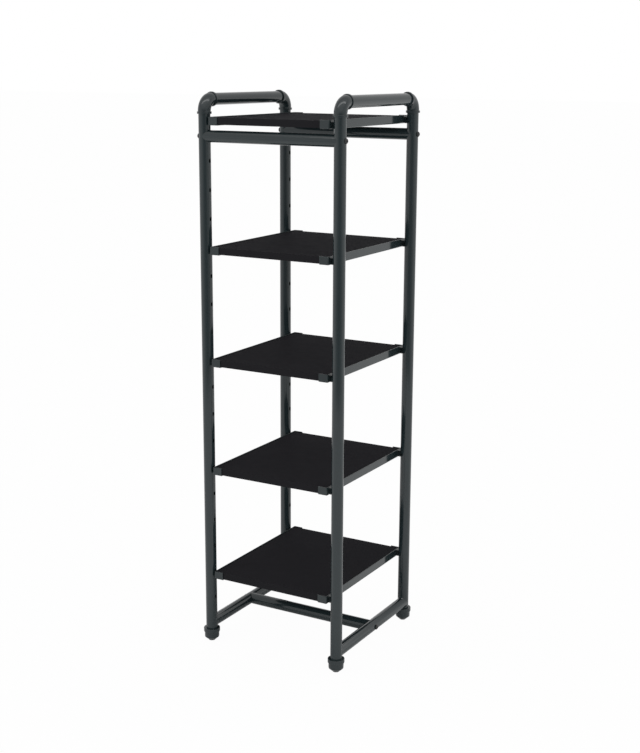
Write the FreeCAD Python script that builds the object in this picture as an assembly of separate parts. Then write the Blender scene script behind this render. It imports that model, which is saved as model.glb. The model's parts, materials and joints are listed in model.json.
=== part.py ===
import FreeCAD, Part
import math
import os

# Retail display etagere: a square tower of round tube with handle bars on
# pipe elbows, pipe-cap feet and five boards in hook-on side brackets.
# Origin on the floor at the centre of the tower, +Z up, +X right, -Y front.

# Driving dimensions, in millimetres

# Round tube, the same for posts, rails and handle bars
tube_od = 33.4
tube_wall = 1.6
fit_gap = 0.1  # radial room of a tube in a socket or a saddle cut

# Tower
post_spacing_x = 426.0
post_spacing_y = 426.0
handle_axis_z = 1587.5
top_rail_drop = 99.0  # handle bar's axis to top rail's axis
bottom_rail_gap = 0.3  # top of a foot to the underside of a bottom rail

# Hook slots in the posts
slot_width = 4.2
slot_height = 10.0
slot_pitch = 80.0
first_slot_z = 141.5
top_slot_drop = 12.0  # mouth of an elbow to the centre of the top shelf's slot
shelf_slots = (13, 9, 5, 1)  # slots of shelves 2 to 5, counted up from 0

# Elbows
elbow_wall = 1.1
elbow_bend = 32.0  # radius of the bend's centre line
elbow_neck = 0.5  # end of the bend to the band round the mouth
elbow_band_width = 6.5
elbow_band_height = 2.4
elbow_band_chamfer = 0.9

# Feet
foot_top_z = 39.5
foot_body_od = 43.6
foot_band_width = 12.0
foot_band_height = 2.25
foot_band_chamfer = 1.2
foot_base_od = 42.8
foot_chamfer_z = 11.0
foot_bottom_od = 25.0
foot_floor_z = 12.0  # where the post's end stands
glide_od = 20.0
glide_height = 3.0
glide_chamfer = 0.6
glide_stem_od = 6.0
glide_stem_length = 7.0

# Bolts and threaded plugs of the rails
bolt_shank_od = 8.0
bolt_head_od = 14.0
bolt_head_height = 4.4
bolt_head_rim = 1.0
bolt_socket = 5.0  # hexagon across flats
bolt_socket_depth = 2.6
bolt_hole_gap = 0.3
plug_length = 16.0
plug_inset = 2.0  # plug face behind the bottom of the saddle cut

# Shelf brackets
sheet = 2.0
bracket_height = 23.0
bracket_width = 29.0
web_to_post = 6.7
hook_plate = 3.0
hook_seat = 13.0  # bracket's underside to the roof of the hook's notch
hook_drop = 4.6
hook_nose = 3.5
hook_gap = 0.3  # hook to the inner and outer face of the post's wall
lift_gap = 0.4  # nose above the edge of the slot when the bracket is lifted
lug_rise = 3.0  # bracket's underside to the foot of the hook plate

# Boards
board_thickness = 19.05
board_gap = 0.6
board_chamfer = 0.8

# Derived places
tube_r = tube_od / 2
bore_r = tube_r - tube_wall
saddle_r = tube_r + fit_gap
post_x = post_spacing_x / 2
post_y = post_spacing_y / 2
elbow_r = saddle_r + elbow_wall
elbow_socket = elbow_neck + elbow_band_width
top_rail_axis_z = handle_axis_z - top_rail_drop
bottom_rail_axis_z = foot_top_z + bottom_rail_gap + tube_r
post_top_z = handle_axis_z - elbow_bend
top_slot_z = post_top_z - elbow_socket - top_slot_drop
slot_room = top_rail_axis_z - tube_r - slot_height - first_slot_z
slot_count = int(slot_room // slot_pitch) + 1
slot_heights = [first_slot_z + i * slot_pitch for i in range(slot_count)] + [top_slot_z]
shelf_slot_heights = [top_slot_z] + [first_slot_z + i * slot_pitch for i in shelf_slots]
hook_lift = hook_drop + lift_gap
bolt_hole_r = bolt_shank_od / 2 + bolt_hole_gap
web_x = post_x - tube_r - web_to_post
bracket_end_y = post_y + tube_r

X = FreeCAD.Vector(1, 0, 0)
Y = FreeCAD.Vector(0, 1, 0)
Z = FreeCAD.Vector(0, 0, 1)
ORIGIN = FreeCAD.Vector(0, 0, 0)

SIDES = {"left": -1, "right": 1}
ENDS = {"front": -1, "rear": 1}


def vec(x, y, z):
    return FreeCAD.Vector(x, y, z)


def rod(radius, start, direction, length):
    return Part.makeCylinder(radius, length, start, direction)


def tube(start, direction, length):
    return rod(tube_r, start, direction, length).cut(rod(bore_r, start, direction, length))


def segment(a, b):
    return Part.LineSegment(a, b).toShape()


def arc(a, b, c):
    return Part.Arc(a, b, c).toShape()


def half_section(points):
    # Points are (radius, height), with a middle point of an arc marked by True.
    edges = []
    places = [vec(p[0], 0, p[1]) for p in points]
    marks = [len(p) == 3 for p in points]
    count = len(points)
    i = 0
    while i < count:
        if marks[(i + 1) % count]:
            edges.append(arc(places[i], places[(i + 1) % count], places[(i + 2) % count]))
            i += 2
        else:
            edges.append(segment(places[i], places[(i + 1) % count]))
            i += 1
    return Part.Face(Part.Wire(edges))


def turned(points):
    return half_section(points).revolve(ORIGIN, Z, 360)


def placed(shape, start, direction):
    # A shape made along +Z, moved so that its axis starts and points as given.
    copy = shape.copy()
    copy.Placement = FreeCAD.Placement(start, FreeCAD.Rotation(Z, direction))
    return copy


def mirrored(shape, side, end=1):
    if side < 0:
        shape = shape.mirror(ORIGIN, X)
    if end < 0:
        shape = shape.mirror(ORIGIN, Y)
    return shape


# Posts, made at the right rear corner


def make_post():
    foot = vec(post_x, post_y, foot_floor_z)
    post = tube(foot, Z, post_top_z - foot_floor_z)
    slot_reach = tube_r + fit_gap
    slots = [
        Part.makeBox(
            slot_reach, slot_width, slot_height,
            vec(post_x - slot_reach, post_y - slot_width / 2, z - slot_height / 2))
        for z in slot_heights
    ]
    bolt_hole = rod(bolt_hole_r, vec(post_x - tube_od, post_y, top_rail_axis_z), X, 2 * tube_od)
    return post.cut(Part.makeCompound(slots + [bolt_hole]))


# Elbows, made at the right rear corner


def make_elbow_leg():
    # Straight socket from the bend's end, at 0, to the mouth with its band.
    band_r = elbow_r + elbow_band_height
    return turned([
        (saddle_r, 0),
        (elbow_r, 0),
        (elbow_r, elbow_neck),
        (band_r - elbow_band_chamfer, elbow_neck),
        (band_r, elbow_neck + elbow_band_chamfer),
        (band_r, elbow_socket - elbow_band_chamfer),
        (band_r - elbow_band_chamfer, elbow_socket),
        (saddle_r, elbow_socket),
    ])


def make_elbow():
    corner = vec(post_x, post_y, handle_axis_z)
    bend_centre = corner - vec(0, elbow_bend, elbow_bend)
    bend_start = corner - vec(0, 0, elbow_bend)
    ring = Part.Face(Part.Wire(Part.makeCircle(elbow_r, bend_start, Z)))
    ring = ring.cut(Part.Face(Part.Wire(Part.makeCircle(bore_r, bend_start, Z))))
    bend = ring.Faces[0].revolve(bend_centre, X, 90)
    leg = make_elbow_leg()
    down_leg = placed(leg, bend_start, -Z)
    front_leg = placed(leg, corner - vec(0, elbow_bend, 0), -Y)
    return bend.multiFuse([down_leg, front_leg]).removeSplitter()


def make_handle_bar(side):
    half = post_y - elbow_bend
    return tube(vec(side * post_x, -half, handle_axis_z), Y, 2 * half)


# Rails, saddle cut onto the tubes that they meet


def saddle_cut(rail, seats):
    return rail.cut(Part.makeCompound(seats))


def make_top_rail(end):
    rail = tube(vec(-post_x, end * post_y, top_rail_axis_z), X, post_spacing_x)
    low_z = top_rail_axis_z - tube_od
    seats = [
        rod(saddle_r, vec(side * post_x, end * post_y, low_z), Z, 2 * tube_od)
        for side in SIDES.values()
    ]
    return saddle_cut(rail, seats)


def make_bottom_rail(side):
    rail = tube(vec(side * post_x, -post_y, bottom_rail_axis_z), Y, post_spacing_y)
    low_z = bottom_rail_axis_z - tube_od
    seats = [
        rod(saddle_r, vec(side * post_x, end * post_y, low_z), Z, 2 * tube_od)
        for end in ENDS.values()
    ]
    bolt_hole = rod(bolt_hole_r, vec(side * post_x - tube_od, 0, bottom_rail_axis_z), X, 2 * tube_od)
    return saddle_cut(rail, seats + [bolt_hole])


def make_stretcher():
    rail = tube(vec(-post_x, 0, bottom_rail_axis_z), X, post_spacing_x)
    seats = [
        rod(saddle_r, vec(side * post_x, -tube_od, bottom_rail_axis_z), Y, 2 * tube_od)
        for side in SIDES.values()
    ]
    return saddle_cut(rail, seats)


# Bolts and plugs, made along +Z from the far tangent of the tube they pass through


def make_bolt():
    shank_r = bolt_shank_od / 2
    head_r = bolt_head_od / 2
    dome_rise = bolt_head_height - bolt_head_rim
    dome_r = (head_r ** 2 + dome_rise ** 2) / (2 * dome_rise)
    middle_r = head_r / 2
    middle_z = bolt_head_rim + dome_rise - dome_r + math.sqrt(dome_r ** 2 - middle_r ** 2)
    length = tube_r + saddle_r + plug_inset + plug_length
    bolt = turned([
        (0, length),
        (shank_r, length),
        (shank_r, 0),
        (head_r, 0),
        (head_r, -bolt_head_rim),
        (middle_r, -middle_z, True),
        (0, -bolt_head_height),
    ])
    corner_r = bolt_socket / math.sqrt(3)
    corners = [
        vec(corner_r * math.cos(i * math.pi / 3), corner_r * math.sin(i * math.pi / 3), -bolt_head_height)
        for i in range(7)
    ]
    socket = Part.Face(Part.makePolygon(corners)).extrude(Z * bolt_socket_depth)
    return bolt.cut(socket)


def make_plug():
    return turned([
        (bolt_hole_r, 0),
        (bore_r - fit_gap, 0),
        (bore_r - fit_gap, plug_length),
        (bolt_hole_r, plug_length),
    ])


def rail_bolts(y_places, axis_z):
    bolt = make_bolt()
    return Part.makeCompound([
        placed(bolt, vec(side * (post_x + tube_r), y, axis_z), X * -side)
        for side in SIDES.values() for y in y_places
    ])


def rail_plugs(y_places, axis_z):
    plug = make_plug()
    start_x = post_x - saddle_r - plug_inset
    return Part.makeCompound([
        placed(plug, vec(side * start_x, y, axis_z), X * -side)
        for side in SIDES.values() for y in y_places
    ])


# Feet, made on the Z axis


def make_foot():
    body_r = foot_body_od / 2
    band_r = body_r + foot_band_height
    band_base = foot_top_z - foot_band_width
    stem_hole_r = glide_stem_od / 2 + fit_gap
    return turned([
        (stem_hole_r, glide_height),
        (foot_bottom_od / 2, glide_height),
        (foot_base_od / 2, foot_chamfer_z),
        (body_r, band_base),
        (band_r - foot_band_chamfer, band_base),
        (band_r, band_base + foot_band_chamfer),
        (band_r, foot_top_z - foot_band_chamfer),
        (band_r - foot_band_chamfer, foot_top_z),
        (saddle_r, foot_top_z),
        (saddle_r, foot_floor_z),
        (stem_hole_r, foot_floor_z),
    ])


def make_glide():
    stem_r = glide_stem_od / 2
    disc_r = glide_od / 2
    return turned([
        (0, 0),
        (disc_r - glide_chamfer, 0),
        (disc_r, glide_chamfer),
        (disc_r, glide_height),
        (stem_r, glide_height),
        (stem_r, glide_height + glide_stem_length),
        (0, glide_height + glide_stem_length),
    ])


# Shelves, with the bracket made for the right side on the level of its own underside


def make_hook(end):
    # Plate that bears on the post, with a nose through the slot and down behind the wall.
    seat_in = hook_plate / 2
    wall_inner = math.sqrt(bore_r ** 2 - seat_in ** 2) - hook_gap
    nose_inner = wall_inner - hook_nose
    bear = tube_r + hook_gap
    root = tube_r + web_to_post + sheet / 2
    neck_top = hook_seat + slot_height - hook_lift - hook_gap
    nose_foot = hook_seat - hook_drop
    outline = [
        (root, lug_rise),
        (bear, lug_rise),
        (bear, hook_seat),
        (wall_inner, hook_seat),
        (wall_inner, nose_foot),
        (nose_inner + hook_nose / 2, nose_foot),
        (nose_inner, nose_foot + hook_nose / 2),
        (nose_inner, neck_top),
        (root, neck_top),
    ]
    start_y = end * post_y - hook_plate / 2
    corners = [vec(post_x - away, start_y, z) for away, z in outline]
    return Part.Face(Part.makePolygon(corners + corners[:1])).extrude(Y * hook_plate)


def make_bracket():
    tray = Part.makeBox(
        bracket_width, 2 * bracket_end_y, bracket_height,
        vec(web_x - bracket_width, -bracket_end_y, 0))
    bends = []
    for edge in tray.Edges:
        middle = edge.CenterOfMass
        at_end = abs(abs(middle.y) - bracket_end_y) < fit_gap
        at_web = abs(middle.x - web_x) < fit_gap
        at_floor = abs(middle.z) < fit_gap
        if at_end + at_web + at_floor == 2:
            bends.append(edge)
    tray = tray.makeFillet(sheet, bends)
    hollow = Part.makeBox(
        bracket_width, 2 * (bracket_end_y - sheet), bracket_height,
        vec(web_x - bracket_width - sheet, -(bracket_end_y - sheet), sheet))
    tray = tray.cut(hollow)
    hooks = [make_hook(end) for end in ENDS.values()]
    return tray.multiFuse(hooks).removeSplitter()


def make_board():
    half_x = web_x - sheet - board_gap
    half_y = bracket_end_y - sheet - board_gap
    board = Part.makeBox(2 * half_x, 2 * half_y, board_thickness, vec(-half_x, -half_y, sheet))
    return board.makeChamfer(board_chamfer, board.Edges)


def make_parts():
    parts = {}
    post = make_post()
    elbow = make_elbow()
    foot = make_foot()
    glide = make_glide()
    glides = []
    for end_name, end in ENDS.items():
        for side_name, side in SIDES.items():
            corner = end_name + "_" + side_name
            foot_place = vec(side * post_x, end * post_y, 0)
            parts[corner + "_post"] = mirrored(post, side, end)
            parts[corner + "_elbow"] = mirrored(elbow, side, end)
            parts[corner + "_foot"] = placed(foot, foot_place, Z)
            glides.append(placed(glide, foot_place, Z))
        parts[end_name + "_top_rail"] = make_top_rail(end)
    parts["foot_glides"] = Part.makeCompound(glides)
    for side_name, side in SIDES.items():
        parts[side_name + "_handle_bar"] = make_handle_bar(side)
        parts[side_name + "_bottom_rail"] = make_bottom_rail(side)
    parts["bottom_stretcher"] = make_stretcher()
    rail_ends = [end * post_y for end in ENDS.values()]
    parts["top_rail_bolts"] = rail_bolts(rail_ends, top_rail_axis_z)
    parts["top_rail_plugs"] = rail_plugs(rail_ends, top_rail_axis_z)
    parts["stretcher_bolts"] = rail_bolts([0], bottom_rail_axis_z)
    parts["stretcher_plugs"] = rail_plugs([0], bottom_rail_axis_z)
    bracket = make_bracket()
    board = make_board()
    for number, slot_z in enumerate(shelf_slot_heights, start=1):
        lift = vec(0, 0, slot_z - slot_height / 2 - hook_seat)
        shelf = "shelf_%d_" % number
        parts[shelf + "board"] = board.translated(lift)
        for side_name, side in SIDES.items():
            parts[shelf + side_name + "_bracket"] = mirrored(bracket, side).translated(lift)
    return parts


os.makedirs("parts", exist_ok=True)
for name, shape in make_parts().items():
    shape.exportStep("parts/" + name + ".step")
    print(name, len(shape.Solids), round(shape.Volume), shape.isValid())
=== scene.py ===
import bpy
import bmesh
import json
import math
from mathutils import Matrix, Vector


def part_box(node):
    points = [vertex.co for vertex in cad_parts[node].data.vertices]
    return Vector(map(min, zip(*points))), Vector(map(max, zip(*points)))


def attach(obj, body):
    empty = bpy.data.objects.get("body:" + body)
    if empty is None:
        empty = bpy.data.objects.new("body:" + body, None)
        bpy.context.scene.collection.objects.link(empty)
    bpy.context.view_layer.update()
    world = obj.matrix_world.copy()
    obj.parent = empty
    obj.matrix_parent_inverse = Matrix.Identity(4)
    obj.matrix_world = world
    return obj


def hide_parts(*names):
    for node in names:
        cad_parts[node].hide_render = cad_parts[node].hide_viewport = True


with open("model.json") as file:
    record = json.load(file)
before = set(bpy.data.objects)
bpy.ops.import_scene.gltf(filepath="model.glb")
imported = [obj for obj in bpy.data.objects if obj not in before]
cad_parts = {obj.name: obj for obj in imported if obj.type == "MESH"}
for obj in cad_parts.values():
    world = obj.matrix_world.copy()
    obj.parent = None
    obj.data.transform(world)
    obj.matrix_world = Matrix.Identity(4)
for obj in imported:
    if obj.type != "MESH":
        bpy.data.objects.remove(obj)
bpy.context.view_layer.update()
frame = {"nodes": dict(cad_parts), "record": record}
print("frame loaded,", len(frame["nodes"]), "nodes")

scene = bpy.context.scene
mm = 0.001
mergeWithin = 0.004 * mm  # points closer than this become one
cutWithin = 0.001 * mm  # points this near to a cutting plane lie on it
levelWithin = 0.01 * mm  # heights this close count as the same
alongX, alongY, alongZ = Vector((1, 0, 0)), Vector((0, 1, 0)), Vector((0, 0, 1))
ends = ("front", "rear")
sides = ("left", "right")
corners = [(end, side) for end in ends for side in sides]
bodyOf = {n: body for body, names in frame["record"]["behaviour"]["bodies"].items() for n in names}


# Camera at the photo's place, measured from the tower's own lines

cameraLook = {
    "place": Vector((1.9031, -3.2633, 1.6818)),
    "azimuth": 29.8045,
    "elevation": 13.2432,
    "roll": 0.274,
    "focalPixels": 1326.65,
    "pictureHeight": 753,
    "sensor": 36.0,
}


def addCamera(look):
    az, el, roll = (math.radians(look[k]) for k in ("azimuth", "elevation", "roll"))
    right = Vector((math.cos(az), math.sin(az), 0))
    back = Vector((math.sin(az) * math.cos(el), -math.cos(az) * math.cos(el), math.sin(el)))
    up = back.cross(right)
    turnedRight = right * math.cos(roll) + up * math.sin(roll)
    turnedUp = up * math.cos(roll) - right * math.sin(roll)
    turn = Matrix((turnedRight, turnedUp, back)).transposed()
    data = bpy.data.cameras.new("photoCamera")
    data.sensor_width = look["sensor"]
    data.lens = look["sensor"] * look["focalPixels"] / look["pictureHeight"]
    camera = bpy.data.objects.new("photoCamera", data)
    camera.matrix_world = Matrix.Translation(look["place"]) @ turn.to_4x4()
    scene.collection.objects.link(camera)
    scene.camera = camera


addCamera(cameraLook)
print("camera placed")


# Steps that several shaders share

def feed(tree, socket, value):
    # Links another node's output to a socket, or sets the socket to a plain value.
    if isinstance(value, bpy.types.NodeSocket):
        tree.links.new(value, socket)
    else:
        socket.default_value = value


def addMath(tree, operation, a, b):
    node = tree.nodes.new("ShaderNodeMath")
    node.operation = operation
    feed(tree, node.inputs[0], a)
    feed(tree, node.inputs[1], b)
    return node.outputs[0]


def addVectorMath(tree, operation, a, b=(0, 0, 0)):
    node = tree.nodes.new("ShaderNodeVectorMath")
    node.operation = operation
    feed(tree, node.inputs[0], a)
    feed(tree, node.inputs[1], b)
    return node.outputs["Value" if operation in ("LENGTH", "DOT_PRODUCT") else "Vector"]


def addRange(tree, value, low, high, outLow=0.0, outHigh=1.0):
    node = tree.nodes.new("ShaderNodeMapRange")
    labels = ("Value", "From Min", "From Max", "To Min", "To Max")
    for label, source in zip(labels, (value, low, high, outLow, outHigh)):
        feed(tree, node.inputs[label], source)
    return node.outputs["Result"]


def addNoise(tree, coords, scale, detail):
    node = tree.nodes.new("ShaderNodeTexNoise")
    for label, source in zip(("Vector", "Scale", "Detail"), (coords, scale, detail)):
        feed(tree, node.inputs[label], source)
    return node.outputs["Fac"]


# Effects that all finishes use

number, color = "NodeSocketFloat", "NodeSocketColor"


def newGroup(name, inputs, outputs):
    tree = bpy.data.node_groups.new(name, "ShaderNodeTree")
    for label, kind, value in inputs:
        socket = tree.interface.new_socket(label, in_out="INPUT", socket_type=kind)
        socket.default_value = value
    for label, kind in outputs:
        tree.interface.new_socket(label, in_out="OUTPUT", socket_type=kind)
    return tree, tree.nodes.new("NodeGroupInput"), tree.nodes.new("NodeGroupOutput")


grainLook = {
    "waveDetail": 1.0,
    "pebbleDetail": 2.0,
}


def makeCoatGrain(look):
    # Orange peel of a sprayed coat: broad soft waves under a fine pebble.
    tree, ins, outs = newGroup(
        "coatGrain",
        [("Wave Scale", number, 260.0), ("Pebble Scale", number, 1500.0), ("Pebble Share", number, 0.4)],
        [("Height", number)])
    coords = tree.nodes.new("ShaderNodeTexCoord").outputs["Object"]
    wave = addNoise(tree, coords, ins.outputs["Wave Scale"], look["waveDetail"])
    pebble = addNoise(tree, coords, ins.outputs["Pebble Scale"], look["pebbleDetail"])
    pebblePart = addMath(tree, "MULTIPLY", pebble, ins.outputs["Pebble Share"])
    feed(tree, outs.inputs["Height"], addMath(tree, "ADD", wave, pebblePart))
    return tree


driftLook = {
    "toneScale": 9.0,
    "toneDetail": 3.0,
    "wipeScale": 38.0,
    "wipeDetail": 4.0,
    "wipeStretch": (1.0, 1.0, 0.25),
    "wipeRange": (0.3, 0.7),  # noise values between which the gloss changes
}


def makeToneDrift(look):
    # Slow change of tone over a piece, and the streaky gloss that wiping leaves.
    tree, ins, outs = newGroup(
        "toneDrift",
        [("Dark", color, (0.02, 0.02, 0.02, 1)), ("Light", color, (0.03, 0.03, 0.03, 1)),
         ("Gloss Low", number, 0.2), ("Gloss High", number, 0.3)],
        [("Color", color), ("Roughness", number)])
    coords = tree.nodes.new("ShaderNodeTexCoord").outputs["Object"]
    mix = tree.nodes.new("ShaderNodeMix")
    mix.data_type = "RGBA"
    factor, colorA, colorB = (mix.inputs[i] for i in (0, 6, 7))  # other sockets are for other kinds of data
    feed(tree, factor, addNoise(tree, coords, look["toneScale"], look["toneDetail"]))
    feed(tree, colorA, ins.outputs["Dark"])
    feed(tree, colorB, ins.outputs["Light"])
    feed(tree, outs.inputs["Color"], mix.outputs[2])
    stretch = tree.nodes.new("ShaderNodeMapping")
    feed(tree, stretch.inputs["Scale"], look["wipeStretch"])
    feed(tree, stretch.inputs["Vector"], coords)
    wiped = addNoise(tree, stretch.outputs["Vector"], look["wipeScale"], look["wipeDetail"])
    gloss = addRange(tree, wiped, *look["wipeRange"], ins.outputs["Gloss Low"], ins.outputs["Gloss High"])
    feed(tree, outs.inputs["Roughness"], gloss)
    return tree


coatGrain = makeCoatGrain(grainLook)
toneDrift = makeToneDrift(driftLook)


# Finishes

finishLooks = {
    "tubePaint": {
        "dark": (0.0132, 0.0208, 0.0232), "light": (0.0157, 0.0238, 0.0262), "roughness": (0.09, 0.13),
        "specular": 0.5, "grain": (260.0, 1500.0, 0.4), "bump": 0.06, "depth": 0.0001},
    "castPaint": {
        "dark": (0.0132, 0.0202, 0.0225), "light": (0.0162, 0.0237, 0.0260), "roughness": (0.11, 0.16),
        "specular": 0.5, "grain": (340.0, 1200.0, 0.6), "bump": 0.09, "depth": 0.0001},
    "bracketPaint": {
        "dark": (0.0138, 0.0208, 0.0230), "light": (0.0158, 0.0233, 0.0255), "roughness": (0.08, 0.12),
        "specular": 0.43, "grain": (300.0, 1500.0, 0.5), "bump": 0.05, "depth": 0.0001},
    "boltBlack": {
        "dark": (0.010, 0.011, 0.011), "light": (0.014, 0.015, 0.015), "roughness": (0.22, 0.30),
        "specular": 0.5, "grain": (700.0, 2400.0, 0.3), "bump": 0.2, "depth": 0.00005},
    "boardFace": {
        "dark": (0.0186, 0.0180, 0.0206), "light": (0.0218, 0.0211, 0.0240), "roughness": (0.62, 0.72),
        "specular": 0.005, "grain": (420.0, 2200.0, 0.8), "bump": 0.2, "depth": 0.0001},
    "boardEdging": {
        "dark": (0.0120, 0.0118, 0.0134), "light": (0.0150, 0.0147, 0.0166), "roughness": (0.5, 0.6),
        "specular": 0.03, "grain": (500.0, 2200.0, 0.6), "bump": 0.2, "depth": 0.0001},
    # Near-black glides: partly their own colour, partly painted shade for the dark band at the bottom of
    # each foot
    "glideBlackAndShade": {
        "dark": (0.005, 0.005, 0.005), "light": (0.009, 0.009, 0.009), "roughness": (0.5, 0.6),
        "specular": 0.1, "grain": (600.0, 1800.0, 0.5), "bump": 0.3, "depth": 0.0001},
    "plugSteel": {
        "dark": (0.40, 0.40, 0.41), "light": (0.52, 0.52, 0.53), "roughness": (0.3, 0.42), "metallic": 1.0,
        "specular": 0.5, "grain": (500.0, 2600.0, 0.5), "bump": 0.2, "depth": 0.0001},
}


def placeGroup(tree, group, labels, values):
    node = tree.nodes.new("ShaderNodeGroup")
    node.node_tree = group
    for label, value in zip(labels, values):
        node.inputs[label].default_value = value
    return node.outputs


def makeFinish(name, look):
    material = bpy.data.materials.new(name)
    material.use_nodes = True
    tree = material.node_tree
    shader = tree.nodes["Principled BSDF"]
    shader.inputs["Metallic"].default_value = look.get("metallic", 0.0)
    shader.inputs["Specular IOR Level"].default_value = look["specular"]
    drift = placeGroup(
        tree, toneDrift, ("Dark", "Light", "Gloss Low", "Gloss High"),
        ((*look["dark"], 1), (*look["light"], 1), *look["roughness"]))
    feed(tree, shader.inputs["Base Color"], drift["Color"])
    feed(tree, shader.inputs["Roughness"], drift["Roughness"])
    grain = placeGroup(tree, coatGrain, ("Wave Scale", "Pebble Scale", "Pebble Share"), look["grain"])
    bump = tree.nodes.new("ShaderNodeBump")
    bump.inputs["Strength"].default_value = look["bump"]
    bump.inputs["Distance"].default_value = look["depth"]
    feed(tree, bump.inputs["Height"], grain["Height"])
    feed(tree, shader.inputs["Normal"], bump.outputs["Normal"])
    return material


finishes = {name: makeFinish(name, look) for name, look in finishLooks.items()}
print("finishes made,", len(finishes))


# Modelling steps that several pieces share

def vertsOf(geom):
    return [g for g in geom if isinstance(g, bmesh.types.BMVert)]


def edgesOf(geom):
    return [g for g in geom if isinstance(g, bmesh.types.BMEdge)]


def openEdges(edges):
    return [e for e in edges if e.is_boundary]


def edgesAt(verts):
    return list(dict.fromkeys(e for v in verts for e in v.link_edges))


def vertsAlong(edges):
    return list(dict.fromkeys(v for e in edges for v in e.verts))


def atHeight(point, z):
    return Vector((point.x, point.y, z))


def placeAlong(start, direction):
    return Matrix.Translation(start) @ direction.to_track_quat("Z", "Y").to_matrix().to_4x4()


def addPiece(name, bm, nodes, materials, sharpAngle=35, flatFrom=math.inf):
    # Faces of a mean width over flatFrom are shaded flat, such as the sides of a folded sheet.
    bmesh.ops.remove_doubles(bm, verts=bm.verts[:], dist=mergeWithin)
    bmesh.ops.recalc_face_normals(bm, faces=bm.faces[:])
    smoothFaces = [2 * f.calc_area() / f.calc_perimeter() < flatFrom for f in bm.faces]
    mesh = bpy.data.meshes.new(name)
    bm.to_mesh(mesh)
    bm.free()
    mesh.set_sharp_from_angle(angle=math.radians(sharpAngle))
    mesh.polygons.foreach_set("use_smooth", smoothFaces)
    for material in materials:
        mesh.materials.append(finishes[material])
    piece = bpy.data.objects.new(name, mesh)
    scene.collection.objects.link(piece)
    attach(piece, bodyOf[nodes[0]])
    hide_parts(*nodes)
    return piece


def startRing(bm, centre, direction, radius, segments):
    place = placeAlong(centre, direction)
    return edgesAt(bmesh.ops.create_circle(bm, segments=segments, radius=radius, matrix=place)["verts"])


def growRings(bm, ring, start, direction, stations, radius):
    # Pulls a ring of edges along a line, through stations of (distance from start, radius).
    reached = 0.0
    for distance, nextRadius in stations:
        made = bmesh.ops.extrude_edge_only(bm, edges=ring)["geom"]
        verts = vertsOf(made)
        bmesh.ops.translate(bm, verts=verts, vec=direction * (distance - reached))
        grow = nextRadius / radius
        centre = start + direction * distance
        bmesh.ops.scale(bm, verts=verts, vec=(grow, grow, grow), space=Matrix.Translation(-centre))
        ring = openEdges(edgesOf(made))
        reached, radius = distance, nextRadius
    return ring


def growTube(bm, start, along, length, segments):
    # A bare skin of tube. Gives the rings of edges at its two ends.
    ring = startRing(bm, start, along, tubeRadius, segments)
    return ring, growRings(bm, ring, start, along, [(length, tubeRadius)], tubeRadius)


def addTube(node, bm, wall):
    # Gives a skin of tube its wall, and makes it a piece.
    bmesh.ops.recalc_face_normals(bm, faces=bm.faces[:])
    bmesh.ops.solidify(bm, geom=bm.faces[:], thickness=wall)
    addPiece(node + "_tube", bm, [node], ["tubePaint"])


def turnProfile(bm, profile, place, steps):
    # Spins (radius, height) points about Z, then moves the new shape to its place.
    known = set(bm.verts)
    verts = [bm.verts.new((r, 0, z)) for r, z in profile]
    edges = [bm.edges.new(pair) for pair in zip(verts, verts[1:])]
    bmesh.ops.spin(
        bm, geom=verts + edges, cent=(0, 0, 0), axis=alongZ, dvec=(0, 0, 0),
        angle=math.tau, steps=steps, use_merge=True, use_duplicate=False)
    fresh = [v for v in bm.verts if v not in known]
    bmesh.ops.transform(bm, matrix=place, verts=fresh)
    return fresh


def bandStations(base, look):
    # Stations of a flat band with round edges on a round body, from base upwards.
    corner, steps = look["bandRound"], look["bandSteps"]
    top = base + look["bandWidth"]
    outer = look["body"] + look["bandHeight"]
    lower, upper = [], []
    for i in range(steps + 1):
        angle = math.pi / 2 * i / steps
        away = corner * (1 - math.cos(angle))
        reach = outer - corner * (1 - math.sin(angle))
        lower.append((base + away, reach))
        upper.append((top - away, reach))
    support = corner * look["bandSupport"]
    flat = [(base + support, outer), (top - support, outer)]
    return [(base, look["body"])] + lower + flat + upper[::-1]


def roundEdges(bm, edges, offset, steps, clamp=True):
    bmesh.ops.bevel(
        bm, geom=edges, offset=offset, segments=steps, profile=0.5,
        affect="EDGES", material=-1, clamp_overlap=clamp)


# Places read from the frame

postAxis = {}
for end, side in corners:
    low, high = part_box(end + "_" + side + "_post")
    postAxis[end, side] = (low + high) / 2
tubeRadius = (high.x - low.x) / 2  # posts, rails and handle bars are of one tube


def middleZ(node):
    low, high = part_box(node)
    return (low.z + high.z) / 2


handleZ = middleZ("left_handle_bar")
topRailZ = middleZ("front_top_rail")
bottomRailZ = middleZ("left_bottom_rail")


# Posts: slotted tubes

postLook = {
    "segments": 96,
    "wall": 1.6 * mm,
    "slotSteps": 4,  # tube segments that a slot takes, each side of its middle
    "slotHeight": 10 * mm,
    "slotPitch": 80 * mm,
    "firstSlot": 141.5 * mm,
    "slotCount": 17,
    "topSlot": 1536.5 * mm,
}


def makePost(node, look):
    low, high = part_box(node)
    centre = (low + high) / 2
    inward = -math.copysign(1, centre.x)
    bm = bmesh.new()
    growTube(bm, atHeight(centre, low.z), alongZ, high.z - low.z, look["segments"])
    slots = [look["firstSlot"] + i * look["slotPitch"] for i in range(look["slotCount"])]
    slots.append(look["topSlot"])
    half = look["slotHeight"] / 2
    for z in slots:
        for cut in (z - half, z + half):
            everything = bm.verts[:] + bm.edges[:] + bm.faces[:]
            bmesh.ops.bisect_plane(
                bm, geom=everything, dist=cutWithin, plane_co=(0, 0, cut), plane_no=alongZ)
    halfAngle = math.tau / look["segments"] * look["slotSteps"]
    openFaces = []
    for face in bm.faces:
        middle = face.calc_center_median()
        aside = math.atan2(abs(middle.y - centre.y), (middle.x - centre.x) * inward)
        if aside < halfAngle and any(abs(middle.z - z) < half for z in slots):
            openFaces.append(face)
    bmesh.ops.delete(bm, geom=openFaces, context="FACES")
    addTube(node, bm, look["wall"])


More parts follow.
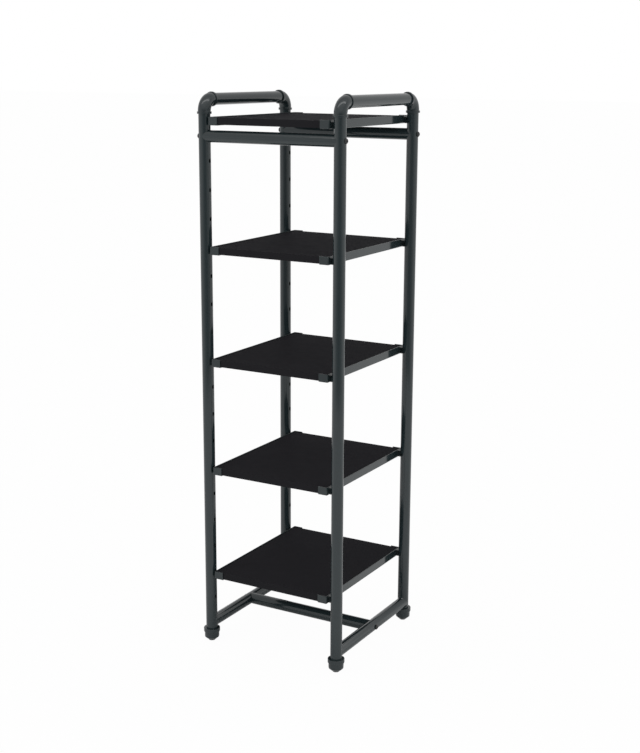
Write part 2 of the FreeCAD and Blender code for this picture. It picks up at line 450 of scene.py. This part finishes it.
for end, side in corners:
    makePost(end + "_" + side + "_post", postLook)
print("posts made")


# Elbows: a swept bend between two banded mouths

elbowLook = {
    "segments": 72,
    "bend": 32 * mm,
    "bendSteps": 20,
    "neck": 0.5 * mm,
    "body": 17.9 * mm,
    "bore": 15.1 * mm,
    "bandWidth": 6.5 * mm,
    "bandHeight": 2.4 * mm,
    "bandRound": 0.9 * mm,
    "bandSteps": 3,
    "bandSupport": 1.4,  # corner radii from a band's side to the ring that holds its flat
    "lipGap": 0.15 * mm,
}


def bendRing(bm, corner, down, inward, radius, look):
    # Sweeps a ring round the bend. Gives the rings of edges at its two ends.
    ring = startRing(bm, corner + down * look["bend"], down, radius, look["segments"])
    turned = bmesh.ops.spin(
        bm, geom=vertsAlong(ring) + ring, cent=corner + (down + inward) * look["bend"],
        axis=inward.cross(down), dvec=(0, 0, 0), angle=math.pi / 2, steps=look["bendSteps"],
        use_merge=False, use_duplicate=False)
    return ring, edgesOf(turned["geom_last"])


def makeElbow(end, side, look):
    corner = atHeight(postAxis[end, side], handleZ)
    down = -alongZ
    inward = alongY * -math.copysign(1, corner.y)
    lip = tubeRadius + look["lipGap"]
    straight = look["neck"] + look["bandWidth"]
    mouth = bandStations(look["neck"], look)
    mouth += [(straight, lip), (0, lip), (0, look["bore"])]  # the socket ends where the tube does
    bm = bmesh.new()
    rings = bendRing(bm, corner, down, inward, look["body"], look)
    for ring, outward in zip(rings, (down, inward)):
        growRings(bm, ring, corner + outward * look["bend"], outward, mouth, look["body"])
    bendRing(bm, corner, down, inward, look["bore"], look)
    node = end + "_" + side + "_elbow"
    addPiece(node + "_casting", bm, [node], ["castPaint"])


for end, side in corners:
    makeElbow(end, side, elbowLook)
print("elbows made")


# Rails and handle bars: plain tubes, the rails with ends coped to what they meet

railLook = {
    "segments": 72,
    "wall": 1.6 * mm,
    "seatGap": 0.1 * mm,
    "weldReach": 2.6 * mm,
    "weldRise": 2.2 * mm,
}


def copeRing(verts, seat, along, across, seatRadius):
    for v in verts:
        aside = (v.co - seat).dot(across)
        reach = math.sqrt(max(seatRadius ** 2 - aside ** 2, 0))
        v.co += along * (reach - (v.co - seat).dot(along))


def makeRail(node, along, seatAxis, seats, look, welded):
    low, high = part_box(node)
    centre = (low + high) / 2
    length = (high - low).dot(along)
    across = along.cross(seatAxis)
    seatRadius = tubeRadius + look["seatGap"]
    bm = bmesh.new()
    rings = growTube(bm, centre - along * length / 2, along, length, look["segments"])
    for ring, seat, inward in zip(rings, seats, (along, -along)):
        verts = vertsAlong(ring)
        copeRing(verts, seat, inward, across, seatRadius)
        if welded:
            bmesh.ops.translate(bm, verts=verts, vec=inward * look["weldReach"])
            flare = vertsOf(bmesh.ops.extrude_edge_only(bm, edges=ring)["geom"])
            stretch = Vector((1, 1, 1)) + seatAxis * look["weldRise"] / tubeRadius
            bmesh.ops.scale(bm, verts=flare, vec=stretch, space=Matrix.Translation(-centre))
            copeRing(flare, seat, inward, across, seatRadius)
    addTube(node, bm, look["wall"])


def makeHandleBar(node, look):
    low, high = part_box(node)
    centre = (low + high) / 2
    bm = bmesh.new()
    growTube(bm, Vector((centre.x, low.y, centre.z)), alongY, high.y - low.y, look["segments"])
    addTube(node, bm, look["wall"])


for end in ends:
    seats = [atHeight(postAxis[end, side], topRailZ) for side in sides]
    makeRail(end + "_top_rail", alongX, alongZ, seats, railLook, welded=False)
for side in sides:
    makeHandleBar(side + "_handle_bar", railLook)
    seats = [atHeight(postAxis[end, side], bottomRailZ) for end in ends]
    makeRail(side + "_bottom_rail", alongY, alongZ, seats, railLook, welded=True)
stretcherSeats = [Vector((postAxis["front", side].x, 0, bottomRailZ)) for side in sides]
makeRail("bottom_stretcher", alongX, alongY, stretcherSeats, railLook, welded=False)
print("rails and handle bars made")


# Bolts: dome heads with a hexagon socket

boltLook = {
    "segments": 48,
    "headRadius": 7.2 * mm,
    "rim": 2.4 * mm,
    "dome": 3.4 * mm,
    "domeSteps": 7,
    "edgeRound": 0.35 * mm,
    "shankRadius": 4 * mm,
    "shank": 22 * mm,
    "socketMouth": 3.3 * mm,
    "socketLead": 0.15 * mm,  # drop from the mouth to the hexagon
    "socketSides": 6,
    "hexRadius": 2.88 * mm,
    "socketDepth": 2.6 * mm,
}


def addBolt(bm, start, outward, look):
    # Profile from the shank's end out to the rim and up the dome to the socket's mouth.
    headRadius, shank = look["headRadius"], look["shank"]
    domeRadius = (headRadius ** 2 + look["dome"] ** 2) / (2 * look["dome"])
    domeCentre = look["rim"] + look["dome"] - domeRadius
    profile = [
        (look["shankRadius"], -shank), (look["shankRadius"], 0),
        (headRadius - look["edgeRound"], 0), (headRadius, look["edgeRound"])]
    for i in range(look["domeSteps"] + 1):
        r = headRadius + (look["socketMouth"] - headRadius) * i / look["domeSteps"]
        profile.append((r, domeCentre + math.sqrt(domeRadius ** 2 - r ** 2)))
    fresh = turnProfile(bm, profile, Matrix.Identity(4), look["segments"])
    top = profile[-1][1]
    rims = openEdges(edgesAt(fresh))
    mouthEdges = [e for e in rims if all(v.co.z > top - levelWithin for v in e.verts)]
    shankEdges = [e for e in rims if all(v.co.z < levelWithin - shank for v in e.verts)]
    hexagon = bmesh.ops.create_circle(
        bm, segments=look["socketSides"], radius=look["hexRadius"],
        matrix=Matrix.Translation((0, 0, top - look["socketLead"])))["verts"]
    hexEdges = edgesAt(hexagon)
    bmesh.ops.bridge_loops(bm, edges=mouthEdges + hexEdges)
    sunk = bmesh.ops.extrude_edge_only(bm, edges=hexEdges)["geom"]
    sunkVerts = vertsOf(sunk)
    bmesh.ops.translate(bm, verts=sunkVerts, vec=(0, 0, -look["socketDepth"]))
    bmesh.ops.contextual_create(bm, geom=openEdges(edgesOf(sunk)))
    bmesh.ops.contextual_create(bm, geom=shankEdges)
    bmesh.ops.transform(bm, matrix=placeAlong(start, outward), verts=fresh + hexagon + sunkVerts)


def makeBolts(node, places, look):
    bm = bmesh.new()
    for place in places:
        outward = alongX * math.copysign(1, place.x)
        addBolt(bm, place + outward * tubeRadius, outward, look)
    addPiece(node + "_heads", bm, [node], ["boltBlack"])


makeBolts("top_rail_bolts", [atHeight(p, topRailZ) for p in postAxis.values()], boltLook)
makeBolts("stretcher_bolts", stretcherSeats, boltLook)
print("bolts made")


# Feet: pipe caps on nylon glides; the glides' near-black tone also paints the shade at the bottom of each
# foot

footLook = {
    "segments": 80,
    "mouth": 39.5 * mm,
    "body": 21.8 * mm,
    "base": 21.4 * mm,
    "baseHeight": 11 * mm,
    "bottom": 12.5 * mm,
    "bandWidth": 12 * mm,
    "bandHeight": 2.25 * mm,
    "bandRound": 1.2 * mm,
    "bandSteps": 4,
    "bandSupport": 1.4,
    "socketFloor": 12 * mm,
    "lipGap": 0.15 * mm,
    "cornerRound": 0.8 * mm,
    "cornerSteps": 3,
    "cornerAngle": 0.3,  # lower edges that turn by more than this are rounded
    "sharpAngle": 50,
    "glide": 10 * mm,
    "glideHeight": 3 * mm,
    "glideRound": 0.7 * mm,
}


def makeFoot(end, side, look):
    lip = tubeRadius + look["lipGap"]
    under = look["glideHeight"]
    profile = [(0, under), (look["bottom"], under), (look["base"], look["baseHeight"])]
    profile += [(r, z) for z, r in bandStations(look["mouth"] - look["bandWidth"], look)]
    profile += [(lip, look["mouth"]), (lip, look["socketFloor"]), (0, look["socketFloor"])]
    bm = bmesh.new()
    turnProfile(bm, profile, Matrix.Translation(atHeight(postAxis[end, side], 0)), look["segments"])
    bmesh.ops.remove_doubles(bm, verts=bm.verts[:], dist=mergeWithin)
    bmesh.ops.recalc_face_normals(bm, faces=bm.faces[:])
    low = look["baseHeight"] + levelWithin
    rims = [e for e in bm.edges if e.is_manifold and all(v.co.z < low for v in e.verts)]
    rims = [e for e in rims if e.calc_face_angle() > look["cornerAngle"]]
    roundEdges(bm, rims, look["cornerRound"], look["cornerSteps"])
    node = end + "_" + side + "_foot"
    addPiece(node + "_cap", bm, [node], ["castPaint"], sharpAngle=look["sharpAngle"])


def makeGlides(look):
    r, top, rounding = look["glide"], look["glideHeight"], look["glideRound"]
    corner = rounding * (1 - math.sqrt(0.5))
    profile = [(0, 0), (r - rounding, 0), (r - corner, corner), (r, rounding), (r, top), (0, top)]
    bm = bmesh.new()
    for axis in postAxis.values():
        turnProfile(bm, profile, Matrix.Translation(atHeight(axis, 0)), look["segments"])
    # The discs' near-black finish doubles as painted shade where the feet meet the floor
    addPiece("foot_glides_discs", bm, ["foot_glides"], ["glideBlackAndShade"])


for end, side in corners:
    makeFoot(end, side, footLook)
makeGlides(footLook)
print("feet made")


# Shelf brackets: folded trays with a hook plate at each end

bracketLook = {
    "width": 29 * mm,
    "height": 23 * mm,
    "sheet": 2 * mm,
    "webGap": 6.7 * mm,
    "bendInside": 0.6 * mm,
    "bendSteps": 4,
    "edgeRound": 0.6 * mm,
    "edgeSteps": 2,
    "cutAngle": 1.2,  # edges that turn by more than this are cut ones
    "flatFrom": 1.5 * mm,
    "hookPlate": 3 * mm,
    "hookRound": 0.3 * mm,
    "hookSteps": 2,
    "hookSeat": 13 * mm,
    "hookOutline": [  # (distance from the post's axis, height over the seat) in mm
        (24.4, -12.9), (17.0, -12.9), (17.0, 0.0), (14.725, 0.0), (14.725, -4.6),
        (12.975, -4.6), (11.225, -2.85), (11.225, 4.7), (24.4, 4.7)],
}


def addHook(bm, axis, seatZ, inward, look):
    front = axis.y - look["hookPlate"] / 2
    verts = []
    for distance, height in look["hookOutline"]:
        verts.append(bm.verts.new((axis.x + inward * distance * mm, front, seatZ + height * mm)))
    face = bm.faces.new(verts)
    plate = vertsOf(bmesh.ops.extrude_face_region(bm, geom=[face])["geom"])
    bmesh.ops.translate(bm, verts=plate, vec=alongY * look["hookPlate"])
    roundEdges(bm, edgesAt(verts + plate), look["hookRound"], look["hookSteps"])


def makeBracket(node, side, look):
    low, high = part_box(node)
    axis = postAxis["front", side]
    outward = math.copysign(1, axis.x)
    sheet = look["sheet"]
    webX = axis.x - outward * (tubeRadius + look["webGap"])
    openX = webX - outward * look["width"]
    bm = bmesh.new()
    # Outer skin: floor sheet first, then its three folded edges are pulled up together.
    outline = ((openX, low.y), (webX, low.y), (webX, high.y), (openX, high.y))
    bm.faces.new([bm.verts.new((x, y, low.z)) for x, y in outline])
    folds = [e for e in bm.edges if not all(abs(v.co.x - openX) < sheet / 2 for v in e.verts)]
    walls = bmesh.ops.extrude_edge_only(bm, edges=folds)["geom"]
    bmesh.ops.translate(bm, verts=vertsOf(walls), vec=alongZ * look["height"])
    bends = [e for e in bm.edges if e.is_manifold]
    roundEdges(bm, bends, sheet + look["bendInside"], look["bendSteps"])
    bmesh.ops.recalc_face_normals(bm, faces=bm.faces[:])
    floorFace = min(bm.faces, key=lambda f: f.calc_center_median().z)
    if floorFace.normal.z > 0:
        bmesh.ops.reverse_faces(bm, faces=bm.faces[:])
    bmesh.ops.solidify(bm, geom=bm.faces[:], thickness=sheet)
    cutEdges = [e for e in bm.edges if e.calc_face_angle() > look["cutAngle"]]
    roundEdges(bm, cutEdges, look["edgeRound"], look["edgeSteps"], clamp=False)
    for end in ends:
        addHook(bm, postAxis[end, side], low.z + look["hookSeat"], -outward, look)
    addPiece(node + "_sheet", bm, [node], ["bracketPaint"], flatFrom=look["flatFrom"])


# Boards: laminate faces with edging on the four sides

boardLook = {
    "edgeRound": 0.8 * mm,
    "roundSteps": 3,
    "levelFrom": 0.5,  # upright part of a normal from which a face is laminate, not edging
    "flatFrom": 1.5 * mm,
}


def makeBoard(node, look):
    low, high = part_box(node)
    bm = bmesh.new()
    place = Matrix.Translation((low + high) / 2) @ Matrix.Diagonal((*(high - low), 1))
    bmesh.ops.create_cube(bm, size=1, matrix=place)
    for face in bm.faces:
        face.material_index = 0 if abs(face.normal.z) > look["levelFrom"] else 1
    roundEdges(bm, bm.edges[:], look["edgeRound"], look["roundSteps"])
    addPiece(node + "_panel", bm, [node], ["boardFace", "boardEdging"], flatFrom=look["flatFrom"])


shelves = sorted({n.split("_")[1] for n in frame["nodes"] if n.startswith("shelf_")})
for shelf in shelves:
    for side in sides:
        makeBracket("shelf_%s_%s_bracket" % (shelf, side), side, bracketLook)
    makeBoard("shelf_%s_board" % shelf, boardLook)
print("shelves made,", len(shelves))


# The plugs stay as CAD nodes, inside the rails
for node in ("top_rail_plugs", "stretcher_plugs"):
    data = frame["nodes"][node].data
    data.materials.clear()
    data.materials.append(finishes["plugSteel"])


# Studio: pale floor, white surround and soft lamps, with a dim room behind the camera

studioLook = {
    "floorSize": 120.0,
    "floorColor": 0.92,
    "floorWhite": 0.97,  # share of plain white that the camera sees
    "floorShine": 0.97,  # white of the floor in reflections
    "floorPlain": (0.25, 0.6),  # distance over which reflections change from the lit floor to that white
    "surround": (1.0, 0.4),  # strength up to lowSky and overhead
    "lowSky": 0.5,  # sine of the height up to which the sky is even
    "surroundShine": 0.84,
    "dimAzimuth": 30.0,  # middle of the dim side, from the front towards the right
    "dimReach": 72.0,
    "dimNarrow": (6.0, 18.0, 1.0, 2.0),  # distances over which it narrows, and the power at each
    "dimDepth": 0.78,
    "dimFrom": (3.0, 3.6),  # distance over the floor where it starts
    "dimRise": 0.45,
    "glowAbove": 0.5,  # share by which the sky over the dim side is lighter
    "lamps": [
        {"name": "stripLamp", "place": (0.85, -1.22, 4.4), "aim": (0, 0, 1.0),
         "size": (7.4, 0.7), "power": 42.0, "mirrored": True},
        {"name": "softLamp", "place": (0.85, -1.22, 4.5), "aim": (0, 0, 1.0),
         "size": (7.4, 3.0), "power": 18.0, "mirrored": True},
        {"name": "rightLamp", "place": (3.4, -1.8, 1.3), "aim": (0, 0, 0.7),
         "size": (2.4, 1.6), "power": 24.0, "mirrored": False},
        {"name": "leftLamp", "place": (-2.4, -3.2, 1.3), "aim": (0, 0, 0.7),
         "size": (2.4, 1.6), "power": 24.0, "mirrored": False},
    ],
}


def dimSide(tree, coords, look, start):
    # How dim the room is in a direction, or at a point of the floor past the start.
    angle = math.radians(look["dimAzimuth"])
    direction = addVectorMath(tree, "NORMALIZE", coords)
    facing = addVectorMath(tree, "DOT_PRODUCT", direction, (math.sin(angle), -math.cos(angle), 0))
    facing = addRange(tree, facing, math.cos(math.radians(look["dimReach"])), 1.0)
    reach = addVectorMath(tree, "LENGTH", coords)
    narrow = addRange(tree, reach, *look["dimNarrow"]) if start else look["dimNarrow"][-1]
    facing = addMath(tree, "POWER", facing, narrow)
    rise = addVectorMath(tree, "DOT_PRODUCT", direction, alongZ)
    low = addRange(tree, rise, 0.0, look["dimRise"], 1.0, -look["glowAbove"])
    dim = addMath(tree, "MULTIPLY", facing, low)
    if start:
        dim = addMath(tree, "MULTIPLY", dim, addRange(tree, reach, *start))
    return addMath(tree, "MULTIPLY", dim, look["dimDepth"])


def whiteForEye(tree, plain, coords, look, white, shine, start=None):
    # Lays white over a shader for camera, glossy and transmission rays. Only the floor has a start.
    path = tree.nodes.new("ShaderNodeLightPath")
    glossy = mirror = path.outputs["Is Glossy Ray"]
    if start:
        far = addRange(tree, addVectorMath(tree, "LENGTH", coords), *look["floorPlain"])
        mirror = addMath(tree, "MULTIPLY", glossy, far)
    seen = addMath(tree, "MAXIMUM", path.outputs["Is Camera Ray"], path.outputs["Is Transmission Ray"])
    seen = addMath(tree, "MAXIMUM", addMath(tree, "MULTIPLY", seen, white), mirror)
    dimmed = addMath(tree, "SUBTRACT", 1.0, dimSide(tree, coords, look, start))
    loss = addMath(tree, "SUBTRACT", 1.0, addMath(tree, "MULTIPLY", dimmed, shine))
    loss = addMath(tree, "MULTIPLY", glossy, loss)
    plainWhite = tree.nodes.new("ShaderNodeEmission" if start else "ShaderNodeBackground")
    feed(tree, plainWhite.inputs["Color"], addMath(tree, "SUBTRACT", 1.0, loss))
    feed(tree, plainWhite.inputs["Strength"], 1.0)
    mix = tree.nodes.new("ShaderNodeMixShader")
    for socket, source in zip(mix.inputs, (seen, plain, plainWhite.outputs[0])):
        feed(tree, socket, source)
    return mix.outputs[0]


def addFloor(look):
    bm = bmesh.new()
    bmesh.ops.create_grid(bm, x_segments=1, y_segments=1, size=look["floorSize"] / 2)
    mesh = bpy.data.meshes.new("studioFloor")
    bm.to_mesh(mesh)
    bm.free()
    floor = bpy.data.objects.new("studioFloor", mesh)
    scene.collection.objects.link(floor)
    material = bpy.data.materials.new("floorPaper")
    material.use_nodes = True
    tree = material.node_tree
    tree.nodes.clear()
    paper = tree.nodes.new("ShaderNodeBsdfDiffuse")
    paper.inputs["Color"].default_value = (look["floorColor"],) * 3 + (1,)
    coords = tree.nodes.new("ShaderNodeTexCoord").outputs["Object"]
    surface = whiteForEye(
        tree, paper.outputs[0], coords, look, look["floorWhite"], look["floorShine"], look["dimFrom"])
    feed(tree, tree.nodes.new("ShaderNodeOutputMaterial").inputs["Surface"], surface)
    mesh.materials.append(material)


def addSurround(look):
    world = bpy.data.worlds.new("studioWorld")
    scene.world = world
    world.use_nodes = True
    tree = world.node_tree
    tree.nodes.clear()
    sky = tree.nodes.new("ShaderNodeBackground")
    sky.inputs["Color"].default_value = (1, 1, 1, 1)
    coords = tree.nodes.new("ShaderNodeTexCoord").outputs["Generated"]
    rise = addVectorMath(tree, "DOT_PRODUCT", coords, alongZ)
    feed(tree, sky.inputs["Strength"], addRange(tree, rise, look["lowSky"], 1.0, *look["surround"]))
    surface = whiteForEye(tree, sky.outputs[0], coords, look, 1.0, look["surroundShine"])
    feed(tree, tree.nodes.new("ShaderNodeOutputWorld").inputs["Surface"], surface)


def addLamp(look):
    data = bpy.data.lights.new(look["name"], "AREA")
    data.shape = "RECTANGLE"
    data.size, data.size_y = look["size"]
    data.energy = look["power"]
    light = bpy.data.objects.new(look["name"], data)
    place = Vector(look["place"])
    light.matrix_world = placeAlong(place, place - Vector(look["aim"]))
    light.visible_glossy = look["mirrored"]
    light.visible_diffuse = not look["mirrored"]
    scene.collection.objects.link(light)


addFloor(studioLook)
addSurround(studioLook)
for lampLook in studioLook["lamps"]:
    addLamp(lampLook)
scene.view_settings.view_transform = "Standard"
print("studio lit")
